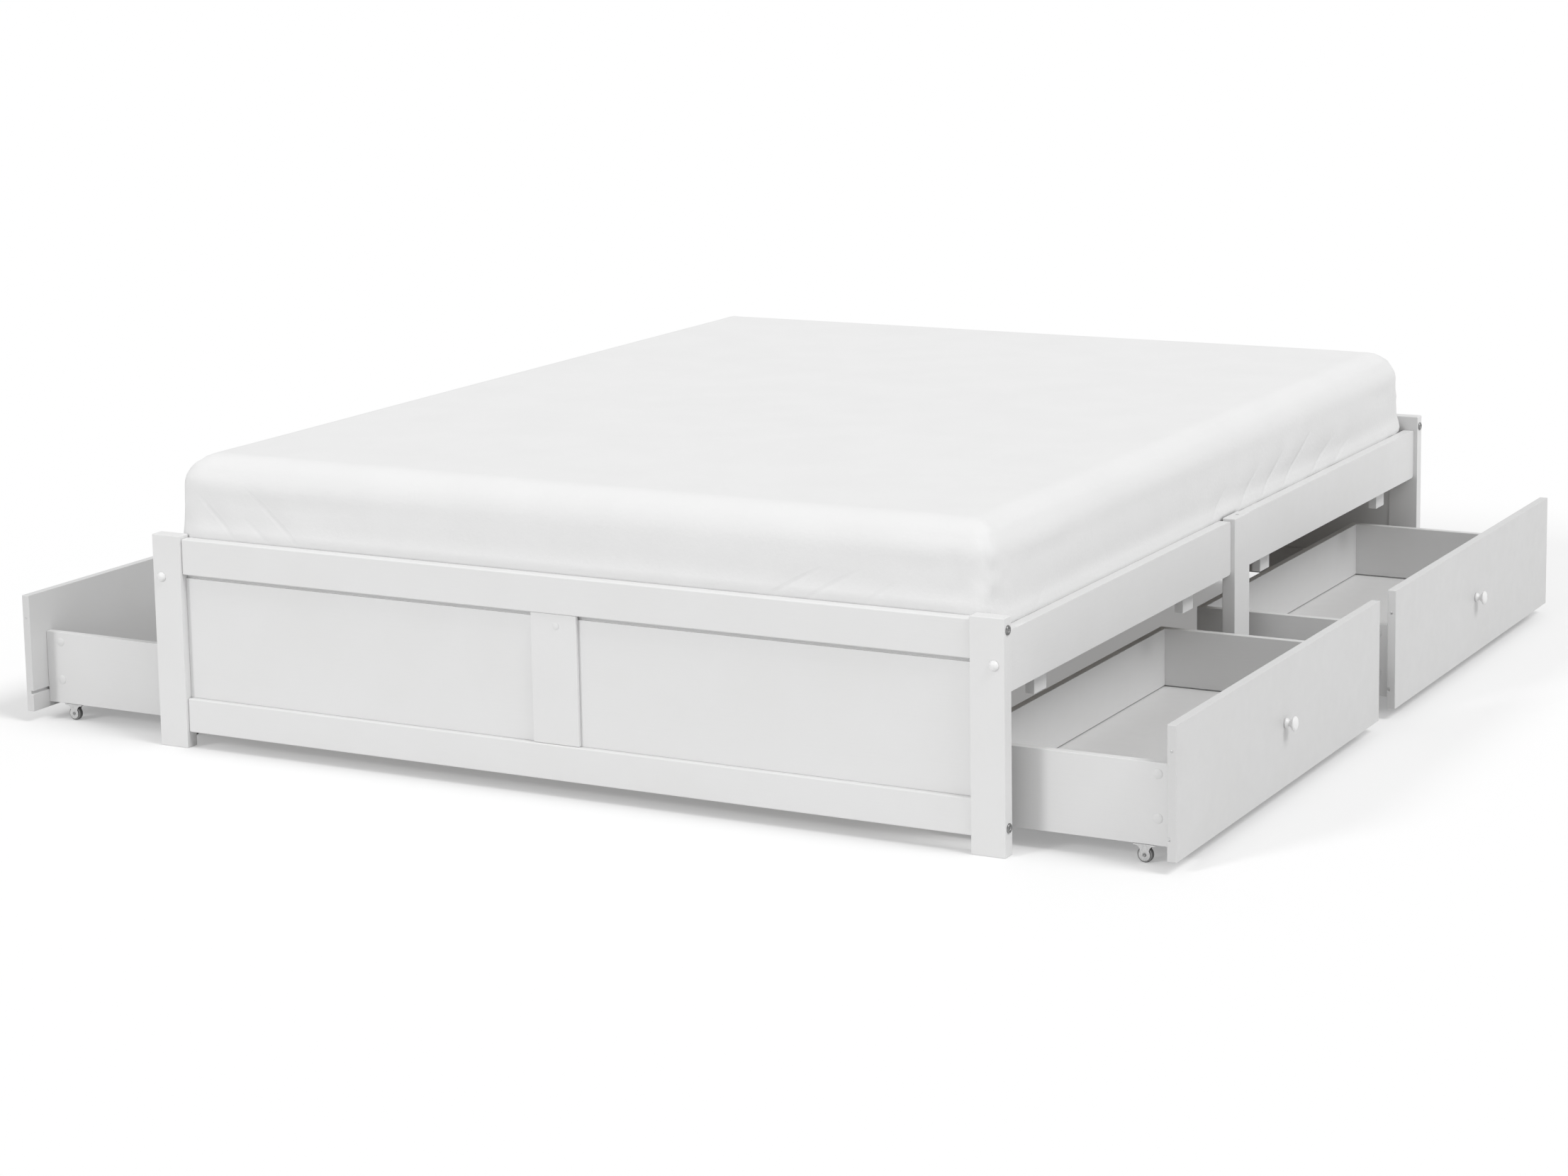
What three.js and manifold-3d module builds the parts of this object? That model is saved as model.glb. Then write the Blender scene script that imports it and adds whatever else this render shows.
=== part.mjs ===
// Platform bed with four storage drawers on castors, a slatted base, a mattress and a fitted sheet.
// Millimetres. X runs across the bed, Y from the foot end to the head end, Z up.
// The origin is on the floor, under the centre leg. The drawers stand part-way open.
import * as THREE from "three";
import { mergeVertices } from "three/addons/utils/BufferGeometryUtils.js";
import Module from "manifold-3d";

// ---- driving dimensions ----
const BED_WIDTH = 1670; // over the corner posts
const BED_LENGTH = 2070; // over the corner posts
const GAP = 0.3; // clearance between pieces that touch

const POST = { width: 60, depth: 26, height: 388 };
const END_FRAME = { setback: 5, thickness: 21, topFrom: 317, topTo: 382, bottomFrom: 29, bottomTo: 91 };
const END_PANEL = { setback: 15, thickness: 9, rebateHeight: 7.5, rebateDepth: 4.5 };
const STILE = { setback: 8, width: 90 };
const SIDE_RAIL = { setback: 8, thickness: 20, from: 261, to: 360, cornerRadius: 8 };
const MID_LEG = { width: 74, depth: 24, height: 364 };
const BEARER = { width: 25, height: 30, top: 314.7 };
const STOP_BLOCK = { thickness: 16, length: 48, bottom: 224, places: [-835, -194, 192, 858] };
const CENTRE_BEAM = { width: 40, height: 64 };
const CENTRE_LEG = { width: 40 };
const SLATS = { count: 13, width: 70, thickness: 15, margin: 25, sideGap: 3, middleGap: 4 };
const TAPE = { width: 20, thickness: 2, overlap: 0.3, fromEnd: 60 };

const MATTRESS = { width: 1600, length: 2000, bottom: 330.3, top: 527, cornerRadius: 57, edgeRadius: 55 };
const SHEET = { thickness: 2.7, hem: 345 };

const DRAWER = { length: 962, postGap: 2.5, openRight: 277, openLeft: 333 };
const FRONT = { thickness: 16, from: 21, to: 240 };
const BOX = { depth: 384, board: 14, inset: 44, from: 31, to: 165 };
const FLOOR_PANEL = { thickness: 3.5, groove: 6, grooveDepth: 5, grooveFrom: 53.5 };
const KNOB = { neck: 5.5, base: 8, head: 13, reach: 21 };
const WHEEL = { radius: 13, width: 8, edge: 1.2, fromEnd: 56 };

const HALF_WIDTH = BED_WIDTH / 2;
const HALF_LENGTH = BED_LENGTH / 2;
const BEARER_BOTTOM = BEARER.top - BEARER.height;
const RAIL_INNER = HALF_WIDTH - SIDE_RAIL.setback - SIDE_RAIL.thickness;

// ---- materials ----
const paint = (name, color, roughness) => new THREE.MeshStandardMaterial({ name, color, roughness, metalness: 0 });
const whitePaint = paint("white_paint", 0xf2f2f2, 0.45);
const whiteBoard = paint("white_board", 0xededed, 0.5);
const pine = paint("pine", 0xdcc39a, 0.7);
const webbing = paint("mattress_ticking", 0xe9e7e2, 0.95);
const cotton = paint("white_cotton", 0xf5f5f5, 0.95);
const wheelGrey = paint("wheel_grey", 0x8b8b8b, 0.4);

const bed = new THREE.Group();
const wasm = await Module();
wasm.setup();

// ---- helpers ----
/** Adds a geometry to the bed as one named mesh. */
function add(name, geometry, material) {
  const mesh = new THREE.Mesh(geometry, material);
  mesh.name = name;
  bed.add(mesh);
  return mesh;
}

/** A box given by its lowest and highest corners. */
function block(low, high) {
  const size = high.map((value, i) => value - low[i]);
  const geometry = new THREE.BoxGeometry(...size);
  return geometry.translate(...low.map((value, i) => value + size[i] / 2));
}

/** A closed three.js geometry as a manifold-3d solid. */
function solid(geometry) {
  const bare = new THREE.BufferGeometry().setAttribute("position", geometry.getAttribute("position"));
  if (geometry.index) bare.setIndex(geometry.index);
  const merged = mergeVertices(bare, 1e-3);
  return new wasm.Manifold(
    new wasm.Mesh({
      numProp: 3,
      vertProperties: merged.attributes.position.array,
      triVerts: new Uint32Array(merged.index.array),
    }),
  );
}

/** A manifold-3d solid as a three.js geometry. */
function geometryOf(manifold) {
  const mesh = manifold.getMesh();
  const geometry = new THREE.BufferGeometry();
  geometry.setAttribute("position", new THREE.BufferAttribute(mesh.vertProperties, 3));
  geometry.setIndex(new THREE.BufferAttribute(mesh.triVerts, 1));
  return geometry;
}

const joined = (geometries) => geometryOf(geometries.map(solid).reduce((a, b) => a.add(b)));
const cut = (geometry, tools) => geometryOf(tools.map(solid).reduce((a, b) => a.subtract(b), solid(geometry)));

/** A flat rectangle with round corners, centred on the origin. */
function roundedRectangle(width, height, radius) {
  const shape = new THREE.Shape();
  const x = width / 2 - radius;
  const y = height / 2 - radius;
  shape.absarc(x, y, radius, 0, Math.PI / 2);
  shape.absarc(-x, y, radius, Math.PI / 2, Math.PI);
  shape.absarc(-x, -y, radius, Math.PI, 1.5 * Math.PI);
  shape.absarc(x, -y, radius, 1.5 * Math.PI, 2 * Math.PI);
  shape.closePath();
  return shape;
}

/** A pillow-edged block: round corners in plan, and round edges round the top and the bottom. */
function softBlock(width, length, bottom, top, cornerRadius, edgeRadius) {
  const inner = cornerRadius - edgeRadius;
  const shape = roundedRectangle(width - 2 * edgeRadius, length - 2 * edgeRadius, inner);
  const geometry = new THREE.ExtrudeGeometry(shape, {
    depth: top - bottom - 2 * edgeRadius,
    bevelThickness: edgeRadius,
    bevelSize: edgeRadius,
    bevelSegments: 4,
    curveSegments: 6,
  });
  return geometry.translate(0, 0, bottom + edgeRadius);
}

// ---- corner posts, one at each corner of the bed ----
const ENDS = [
  { name: "foot", y: -1 },
  { name: "head", y: 1 },
];
const SIDES = [
  { name: "left", x: -1 },
  { name: "right", x: 1 },
];

/** A box placed by its distances in from the bed's outside: x and y are signs, and the ranges run inwards. */
function boardAt(x, y, across, along, up) {
  const xs = across.map((d) => x * (HALF_WIDTH - d)).sort((a, b) => a - b);
  const ys = along.map((d) => y * (HALF_LENGTH - d)).sort((a, b) => a - b);
  return block([xs[0], ys[0], up[0]], [xs[1], ys[1], up[1]]);
}

for (const end of ENDS) {
  for (const side of SIDES) {
    const post = boardAt(side.x, end.y, [0, POST.width], [0, POST.depth], [0, POST.height]);
    add(`${end.name}_${side.name}_post`, post, whitePaint);
  }
}

// ---- end frames: two rails, a thin panel let in behind them and a batten over its middle ----
// The panel's face is rebated along its top edge, which leaves a narrow recess under the top rail.
function endFrame(end) {
  const reach = [POST.width + GAP, BED_WIDTH - POST.width - GAP];
  const along = [END_FRAME.setback, END_FRAME.setback + END_FRAME.thickness];
  const panelFrom = END_PANEL.setback;
  const panelAlong = [panelFrom, panelFrom + END_PANEL.thickness];
  const opening = [END_FRAME.bottomTo + GAP, END_FRAME.topFrom - GAP];
  const middle = [HALF_WIDTH - STILE.width / 2, HALF_WIDTH + STILE.width / 2];
  const top = boardAt(1, end.y, reach, along, [END_FRAME.topFrom, END_FRAME.topTo]);
  const bottom = boardAt(1, end.y, reach, along, [END_FRAME.bottomFrom, END_FRAME.bottomTo]);
  add(`${end.name}_top_rail`, top, whitePaint);
  add(`${end.name}_bottom_rail`, bottom, whitePaint);
  const rebate = boardAt(
    1,
    end.y,
    [reach[0] - 1, reach[1] + 1],
    [panelFrom - 1, panelFrom + END_PANEL.rebateDepth],
    [opening[1] - END_PANEL.rebateHeight, opening[1] + 1],
  );
  const panel = cut(boardAt(1, end.y, reach, panelAlong, opening), [rebate]);
  add(`${end.name}_panel`, panel, whiteBoard);
  add(`${end.name}_batten`, boardAt(1, end.y, middle, [STILE.setback, panelFrom - GAP], opening), whitePaint);
}
ENDS.forEach(endFrame);

// ---- sides: two half rails a side that meet at a middle leg ----
const HALF_RAIL_FROM = MID_LEG.width / 2 + GAP;
const HALF_RAIL_TO = HALF_LENGTH - POST.depth - GAP;

/** A half rail is a board with round corners, laid along the bed on its edge. */
function halfRail(end, side) {
  const length = HALF_RAIL_TO - HALF_RAIL_FROM;
  const height = SIDE_RAIL.to - SIDE_RAIL.from;
  const shape = roundedRectangle(length, height, SIDE_RAIL.cornerRadius);
  const board = new THREE.ExtrudeGeometry(shape, {
    depth: SIDE_RAIL.thickness,
    bevelEnabled: false,
    curveSegments: 4,
  });
  board.rotateX(Math.PI / 2).rotateZ(Math.PI / 2);
  const x = side.x > 0 ? RAIL_INNER : -RAIL_INNER - SIDE_RAIL.thickness;
  return board.translate(x, (end.y * (HALF_RAIL_FROM + HALF_RAIL_TO)) / 2, SIDE_RAIL.from + height / 2);
}

for (const side of SIDES) {
  for (const end of ENDS) add(`${end.name}_${side.name}_side_rail`, halfRail(end, side), whitePaint);
  const along = [HALF_LENGTH - MID_LEG.width / 2, HALF_LENGTH + MID_LEG.width / 2];
  const leg = boardAt(side.x, 1, [0, MID_LEG.depth], along, [0, MID_LEG.height]);
  add(`${side.name}_middle_leg`, leg, whitePaint);
}

// ---- slat bearers: a batten inside each half rail, with two drawer stops hanging from it ----
function bearer(end, side) {
  const from = HALF_WIDTH - RAIL_INNER + GAP;
  const across = [from, from + BEARER.width];
  const y = [HALF_RAIL_FROM, HALF_RAIL_TO - GAP].map((value) => HALF_LENGTH - value);
  const batten = boardAt(side.x, end.y, across, y, [BEARER_BOTTOM, BEARER.top]);
  const stops = STOP_BLOCK.places
    .filter((place) => Math.sign(place) === end.y)
    .map((place) => {
      const middle = HALF_LENGTH - place;
      const stopAlong = [middle - STOP_BLOCK.length / 2, middle + STOP_BLOCK.length / 2];
      const stopAcross = [from, from + STOP_BLOCK.thickness];
      return boardAt(side.x, 1, stopAcross, stopAlong, [STOP_BLOCK.bottom, BEARER_BOTTOM + 1]);
    });
  add(`${end.name}_${side.name}_slat_bearer`, joined([batten, ...stops]), whitePaint);
}
for (const end of ENDS) for (const side of SIDES) bearer(end, side);

// ---- centre beam between the end panels, on a leg at its middle ----
const BEAM_BOTTOM = BEARER.top - CENTRE_BEAM.height;
const BEAM_HALF_LENGTH = HALF_LENGTH - END_PANEL.setback - END_PANEL.thickness - GAP;
add(
  "centre_beam",
  block(
    [-CENTRE_BEAM.width / 2, -BEAM_HALF_LENGTH, BEAM_BOTTOM],
    [CENTRE_BEAM.width / 2, BEAM_HALF_LENGTH, BEARER.top],
  ),
  whitePaint,
);
add(
  "centre_leg",
  block(
    [-CENTRE_LEG.width / 2, -CENTRE_LEG.width / 2, 0],
    [CENTRE_LEG.width / 2, CENTRE_LEG.width / 2, BEAM_BOTTOM - GAP],
  ),
  whitePaint,
);

// ---- slatted base: two rolls of slats side by side, each stapled to two tapes ----
function slatRoll(side) {
  const inner = side.x * SLATS.middleGap;
  const outer = side.x * (RAIL_INNER - SLATS.sideGap);
  const [low, high] = [Math.min(inner, outer), Math.max(inner, outer)];
  const bottom = BEARER.top + GAP;
  const endY = HALF_LENGTH - END_FRAME.setback - END_FRAME.thickness - SLATS.margin;
  const pitch = (2 * endY - SLATS.width) / (SLATS.count - 1);
  const pieces = [];
  for (let i = 0; i < SLATS.count; i += 1) {
    const y = -endY + i * pitch;
    pieces.push(block([low, y, bottom], [high, y + SLATS.width, bottom + SLATS.thickness]));
  }
  for (const x of [low + TAPE.fromEnd, high - TAPE.fromEnd - TAPE.width]) {
    const under = bottom - TAPE.thickness;
    pieces.push(block([x, -endY + 5, under], [x + TAPE.width, endY - 5, bottom + TAPE.overlap]));
  }
  add(`${side.name}_slat_roll`, joined(pieces), pine);
}
SIDES.forEach(slatRoll);

// ---- mattress, and the fitted sheet stretched over its top and sides ----
function bedding() {
  const { width, length, bottom, top, cornerRadius, edgeRadius } = MATTRESS;
  add("mattress", softBlock(width, length, bottom, top, cornerRadius, edgeRadius), webbing);
  // The sheet is the shell between two larger blocks, cut level at its hem, so its sides hang straight.
  const low = bottom - 2 * edgeRadius;
  const grown = (by) =>
    softBlock(width + 2 * by, length + 2 * by, low, top + by, cornerRadius + by, edgeRadius + by);
  const below = block([-width, -length, 0], [width, length, SHEET.hem]);
  add("fitted_sheet", cut(grown(SHEET.thickness + GAP), [grown(GAP), below]), cotton);
}
bedding();

// ---- drawers ----
/** One drawer in its own frame: x = 0 is the outer face of its front, and x falls into the drawer. */
function drawerPieces() {
  const half = DRAWER.length / 2;
  const inner = -FRONT.thickness;
  const back = inner - BOX.depth;
  const grooveTo = FLOOR_PANEL.grooveFrom + FLOOR_PANEL.groove;
  const side = half - BOX.inset;
  const inside = side - BOX.board;

  const groove = block(
    [inner - 1, -half - 1, FLOOR_PANEL.grooveFrom],
    [inner + FLOOR_PANEL.grooveDepth, half + 1, grooveTo],
  );
  const front = cut(block([inner, -half, FRONT.from], [0, half, FRONT.to]), [groove]);

  const depth = FLOOR_PANEL.grooveDepth;
  const boxFront = inner - GAP;
  const box = cut(block([back, -side, BOX.from], [boxFront, side, BOX.to]), [
    block([back + BOX.board, -inside, BOX.from - 1], [boxFront + 1, inside, BOX.to + 1]),
    block(
      [back + BOX.board - depth, -inside - depth, FLOOR_PANEL.grooveFrom],
      [boxFront + 1, inside + depth, grooveTo],
    ),
  ]);

  const floorBottom = FLOOR_PANEL.grooveFrom + GAP;
  const floor = block(
    [back + BOX.board - depth + GAP, -inside - depth + GAP, floorBottom],
    [inner + depth - GAP, inside + depth - GAP, floorBottom + FLOOR_PANEL.thickness],
  );

  const knobProfile = [
    [0, GAP],
    [KNOB.base, GAP],
    [KNOB.base, 2.5],
    [KNOB.neck, 5],
    [KNOB.neck, 10],
    [KNOB.head - 2.5, 13],
    [KNOB.head, 16],
    [KNOB.head - 2, 19],
    [KNOB.head - 6, KNOB.reach - 0.4],
    [0, KNOB.reach],
  ].map(([radius, along]) => new THREE.Vector2(radius, along));
  const knob = new THREE.LatheGeometry(knobProfile, 20);
  knob.rotateZ(-Math.PI / 2).translate(0, 0, (FRONT.from + FRONT.to) / 2);

  const flat = WHEEL.width / 2;
  const wheelProfile = [
    [0, -flat],
    [WHEEL.radius - WHEEL.edge, -flat],
    [WHEEL.radius, WHEEL.edge - flat],
    [WHEEL.radius, flat - WHEEL.edge],
    [WHEEL.radius - WHEEL.edge, flat],
    [0, flat],
  ].map(([radius, along]) => new THREE.Vector2(radius, along));
  const wheels = [inner - WHEEL.fromEnd, back + WHEEL.fromEnd].flatMap((x) =>
    [-1, 1].map((y) =>
      new THREE.LatheGeometry(wheelProfile, 16).translate(x, y * (side - BOX.board / 2), WHEEL.radius),
    ),
  );
  return { front, box, floor, knob, wheels };
}

/** Places a drawer's pieces in its bay, turned half round on the left side of the bed. */
function drawer(end, side) {
  const name = `${end.name}_${side.name}_drawer`;
  const open = side.x > 0 ? DRAWER.openRight : DRAWER.openLeft;
  const y = end.y * (HALF_LENGTH - POST.depth - DRAWER.postGap - DRAWER.length / 2);
  const { front, box, floor, knob, wheels } = drawerPieces();
  const pieces = [
    add(`${name}_front`, front, whiteBoard),
    add(`${name}_box`, box, whiteBoard),
    add(`${name}_bottom`, floor, whiteBoard),
    add(`${name}_knob`, knob, whitePaint),
    ...wheels.map((wheel, i) => add(`${name}_wheel_${i + 1}`, wheel, wheelGrey)),
  ];
  const group = new THREE.Group();
  group.add(...pieces);
  group.position.set(side.x * (HALF_WIDTH + open), y, 0);
  if (side.x < 0) group.rotation.z = Math.PI;
  bed.add(group);
}
for (const end of ENDS) for (const side of SIDES) drawer(end, side);

export default bed;
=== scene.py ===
import math

import bmesh
import bpy
import numpy as np
from mathutils import Matrix, Vector


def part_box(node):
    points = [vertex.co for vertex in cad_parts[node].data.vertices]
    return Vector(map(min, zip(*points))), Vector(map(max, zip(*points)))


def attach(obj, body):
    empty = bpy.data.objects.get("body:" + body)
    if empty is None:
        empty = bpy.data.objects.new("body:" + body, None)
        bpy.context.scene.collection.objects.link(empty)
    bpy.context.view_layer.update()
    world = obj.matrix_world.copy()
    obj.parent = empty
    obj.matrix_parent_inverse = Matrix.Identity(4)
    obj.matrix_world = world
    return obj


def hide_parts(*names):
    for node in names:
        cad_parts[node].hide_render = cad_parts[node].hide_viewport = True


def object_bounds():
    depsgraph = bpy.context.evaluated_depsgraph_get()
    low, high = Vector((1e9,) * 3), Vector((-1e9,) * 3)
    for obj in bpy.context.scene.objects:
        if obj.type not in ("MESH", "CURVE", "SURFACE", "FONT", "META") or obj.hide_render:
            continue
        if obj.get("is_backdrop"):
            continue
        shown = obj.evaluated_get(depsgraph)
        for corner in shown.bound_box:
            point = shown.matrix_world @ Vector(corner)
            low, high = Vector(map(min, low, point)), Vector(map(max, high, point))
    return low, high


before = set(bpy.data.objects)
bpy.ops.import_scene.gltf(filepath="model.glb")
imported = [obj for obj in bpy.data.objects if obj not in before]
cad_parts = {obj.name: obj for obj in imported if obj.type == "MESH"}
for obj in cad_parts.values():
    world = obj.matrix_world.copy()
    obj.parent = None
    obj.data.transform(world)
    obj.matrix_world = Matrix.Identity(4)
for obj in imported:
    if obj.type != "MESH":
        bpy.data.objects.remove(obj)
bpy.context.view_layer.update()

# The camera stands off the foot end, well to its right and a little above a person's head,
# and looks down along the bed through a long lens.
camera = bpy.data.objects.new("camera", bpy.data.cameras.new("camera"))
bpy.context.scene.collection.objects.link(camera)
camera.location = (3.059, -5.851, 1.601)
camera.rotation_euler = [math.radians(angle) for angle in (80.803, 0.967, 28.271)]
camera.data.sensor_width = 36
camera.data.lens = 79.85
camera.data.shift_y = -0.1218
camera.data.clip_end = 200
bpy.context.scene.camera = camera

# The posts, rails and legs are solid wood under satin white paint, rubbed down and sprayed, with
# their edges eased by hand. The grain shows through the paint only as faint ridges.


def shader(name):
    """A new material: returns it, its nodes, its links and its Principled shader."""
    material = bpy.data.materials.new(name)
    material.use_nodes = True
    nodes = material.node_tree.nodes
    return material, nodes, material.node_tree.links, nodes["Principled BSDF"]


def noise(nodes, links, vector, scale, detail=4.0, roughness=0.55):
    """Fractal noise read at a vector, which is a socket; returns its value's socket."""
    node = nodes.new("ShaderNodeTexNoise")
    node.inputs["Scale"].default_value = scale
    node.inputs["Detail"].default_value = detail
    node.inputs["Roughness"].default_value = roughness
    links.new(vector, node.inputs["Vector"])
    return node.outputs["Fac"]


def stretched(nodes, links, scale):
    """The piece's own coordinates in metres, scaled on each axis."""
    place = nodes.new("ShaderNodeTexCoord")
    mapping = nodes.new("ShaderNodeMapping")
    mapping.inputs["Scale"].default_value = scale
    links.new(place.outputs["Object"], mapping.inputs["Vector"])
    return mapping.outputs["Vector"]


def ramp(nodes, links, value, low, high, dark, light):
    """Blends two colours as a value goes from low to high; returns the colour's socket."""
    node = nodes.new("ShaderNodeValToRGB")
    node.color_ramp.elements[0].position = low
    node.color_ramp.elements[0].color = (*dark, 1)
    node.color_ramp.elements[1].position = high
    node.color_ramp.elements[1].color = (*light, 1)
    links.new(value, node.inputs["Fac"])
    return node.outputs["Color"]


def spread(nodes, links, value, low, high):
    """Maps a value from 0.3 to 0.7 onto low to high; returns the result's socket."""
    node = nodes.new("ShaderNodeMapRange")
    node.inputs["From Min"].default_value = 0.3
    node.inputs["From Max"].default_value = 0.7
    node.inputs["To Min"].default_value = low
    node.inputs["To Max"].default_value = high
    links.new(value, node.inputs["Value"])
    return node.outputs["Result"]


def bump(nodes, links, height, distance, strength, below=None):
    """Raises the surface by a height from 0 to 1, over what is below; returns the normal's socket."""
    node = nodes.new("ShaderNodeBump")
    node.inputs["Distance"].default_value = distance
    node.inputs["Strength"].default_value = strength
    links.new(height, node.inputs["Height"])
    if below:
        links.new(below, node.inputs["Normal"])
    return node.outputs["Normal"]


ALONG = {"x": (0.05, 1, 1), "y": (1, 0.05, 1), "z": (1, 1, 0.05)}
DULL_PATCHES = (0.984, 0.983, 0.98)


def painted(name, grain, white, gloss=0.42):
    """White paint over wood whose grain runs along one axis: faint grain and brush-smoothed skin."""
    material, nodes, links, surface = shader(name)
    along = stretched(nodes, links, ALONG[grain])
    plain = stretched(nodes, links, (1, 1, 1))
    patches = noise(nodes, links, plain, 6, 3)
    dull = [white * shade for shade in DULL_PATCHES]
    colour = ramp(nodes, links, patches, 0.35, 0.65, dull, [white] * 3)
    links.new(colour, surface.inputs["Base Color"])
    rough = spread(nodes, links, noise(nodes, links, plain, 40), gloss - 0.06, gloss + 0.08)
    links.new(rough, surface.inputs["Roughness"])
    ridges = bump(nodes, links, noise(nodes, links, along, 240, 5), 0.0004, 0.35)
    skin = bump(nodes, links, noise(nodes, links, plain, 700, 2), 0.00012, 0.3, ridges)
    links.new(skin, surface.inputs["Normal"])
    surface.inputs["Specular IOR Level"].default_value = 0.45
    return material


FRAME_WHITE = 0.74
paint = {grain: painted(f"white_paint_{grain}", grain, FRAME_WHITE) for grain in "xyz"}


def finish_node(piece, material, ease):
    """Paints a piece and rounds its edges: its triangles are joined and its sharp edges bevelled."""
    if piece.material_slots:
        piece.material_slots[0].material = material
    else:
        piece.data.materials.append(material)
    weld = piece.modifiers.new("joined", "WELD")
    weld.merge_threshold = 1e-5
    bevel = piece.modifiers.new("eased_edges", "BEVEL")
    bevel.width = ease
    bevel.segments = 3
    bevel.limit_method = "ANGLE"
    bevel.angle_limit = math.radians(40)
    shading = piece.modifiers.new("flat_faces", "WEIGHTED_NORMAL")
    shading.keep_sharp = False
    return piece


EDGE = 0.0018
THIN_EDGE = 0.001
ENDS = {"foot": -1, "head": 1}
SIDES = {"left": -1, "right": 1}
for end in ENDS:
    for side in SIDES:
        finish_node(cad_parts[f"{end}_{side}_post"], paint["z"], EDGE)
        finish_node(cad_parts[f"{end}_{side}_side_rail"], paint["y"], EDGE)
        finish_node(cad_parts[f"{end}_{side}_slat_bearer"], paint["y"], THIN_EDGE)
for side in SIDES:
    finish_node(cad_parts[f"{side}_middle_leg"], paint["z"], EDGE)
finish_node(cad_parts["centre_beam"], paint["y"], EDGE)
finish_node(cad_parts["centre_leg"], paint["z"], EDGE)

# Each end is a frame of two rails with a thin board let in behind them. A batten covers the joint
# in the middle of the board.
RAIL_EDGE = 0.0025
PANEL_EDGE = 0.0004
panel_board = painted("white_panel", "x", FRAME_WHITE, 0.5)
for end in ENDS:
    finish_node(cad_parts[f"{end}_top_rail"], paint["x"], RAIL_EDGE)
    finish_node(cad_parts[f"{end}_bottom_rail"], paint["x"], RAIL_EDGE)
    finish_node(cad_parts[f"{end}_panel"], panel_board, PANEL_EDGE)
    finish_node(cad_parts[f"{end}_batten"], paint["z"], THIN_EDGE)

# The fastenings of the frame: a domed plastic cap on each post's end face covers the bolt of the end
# frame, two hexagon-socket bolts go through each post's outer face, and small plugs and screws close
# the battens and middle legs.


def mesh_piece(name, points, faces, body, material, smooth=True):
    """A piece from points and faces, with doubled points joined and every face turned outwards."""
    mesh = bpy.data.meshes.new(name)
    mesh.from_pydata(np.asarray(points).tolist(), [], faces)
    work = bmesh.new()
    work.from_mesh(mesh)
    bmesh.ops.remove_doubles(work, verts=work.verts, dist=1e-6)
    bmesh.ops.recalc_face_normals(work, faces=work.faces)
    for face in work.faces:
        face.smooth = smooth
    work.to_mesh(mesh)
    work.free()
    mesh.materials.append(material)
    piece = bpy.data.objects.new(name, mesh)
    bpy.context.scene.collection.objects.link(piece)
    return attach(piece, body)


def cells(numbers):
    """The corner numbers of every cell of a grid of point numbers."""
    corners = (numbers[:-1, :-1], numbers[1:, :-1], numbers[1:, 1:], numbers[:-1, 1:])
    return np.stack(corners, axis=-1).reshape(-1, 4).tolist()


def grid_faces(rows, columns, wrap_rows=False, wrap_columns=False):
    """Faces of a grid of points, joined end to end where it wraps."""
    numbers = np.arange(rows * columns).reshape(rows, columns)
    if wrap_rows:
        numbers = np.vstack([numbers, numbers[:1]])
    if wrap_columns:
        numbers = np.hstack([numbers, numbers[:, :1]])
    return cells(numbers)


AXES = {"x": (0, 1, 2), "y": (1, 2, 0), "z": (2, 0, 1)}


def turned_points(profile, axis, foot, segments):
    """A profile of (radius, distance along) turned about an axis through foot: one row for each of its
    points. A point is foot + along * axis + radius * (cos a, sin a) on the other two axes."""
    radius, along = np.asarray(profile, float).T
    angle = np.linspace(0, 2 * math.pi, segments, endpoint=False)
    order = AXES[axis]
    points = np.empty((len(radius), segments, 3))
    points[..., order[0]] = along[:, None]
    points[..., order[1]] = radius[:, None] * np.cos(angle)
    points[..., order[2]] = radius[:, None] * np.sin(angle)
    return points + np.asarray(foot)


def turned(name, profile, axis, foot, body, material, segments=32, ring=False):
    """A turned piece. The profile starts and ends on the axis, or closes on itself to make a ring."""
    points = turned_points(profile, axis, foot, segments)
    faces = grid_faces(len(profile), segments, wrap_rows=ring, wrap_columns=True)
    return mesh_piece(name, points.reshape(-1, 3), faces, body, material)


def dome(radius, height, steps=7):
    """The profile of a low dome, a quarter of an ellipse from its rim to its top."""
    turn = np.linspace(0, math.pi / 2, steps)
    return np.stack([radius * np.cos(turn), height * np.sin(turn)], axis=-1)


def moulded(name, white, gloss):
    """Moulded plastic: an even colour with a fine spark-eroded skin."""
    material, nodes, links, surface = shader(name)
    plain = stretched(nodes, links, (1, 1, 1))
    dull = [white * 0.95] * 3
    mottle = noise(nodes, links, plain, 300, 2)
    links.new(ramp(nodes, links, mottle, 0.3, 0.7, dull, [white] * 3), surface.inputs["Base Color"])
    links.new(spread(nodes, links, mottle, gloss, gloss + 0.1), surface.inputs["Roughness"])
    skin = bump(nodes, links, noise(nodes, links, plain, 2500, 2), 0.00004, 0.3)
    links.new(skin, surface.inputs["Normal"])
    return material


def plated(name, tone, gloss):
    """Plated steel: metal whose brightness and gloss drift with fine rubbing marks."""
    material, nodes, links, surface = shader(name)
    plain = stretched(nodes, links, (1, 1, 1))
    marks = noise(nodes, links, plain, 400, 5)
    dull = [tone * 0.82] * 3
    links.new(ramp(nodes, links, marks, 0.35, 0.65, dull, [tone] * 3), surface.inputs["Base Color"])
    links.new(spread(nodes, links, marks, gloss, gloss + 0.16), surface.inputs["Roughness"])
    links.new(bump(nodes, links, marks, 0.00005, 0.25), surface.inputs["Normal"])
    surface.inputs["Metallic"].default_value = 0.9
    return material


cap_plastic = moulded("cap_plastic", 0.8, 0.36)
nickel = plated("dark_nickel", 0.3, 0.26)
zinc = plated("zinc_plate", 0.62, 0.32)

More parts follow.
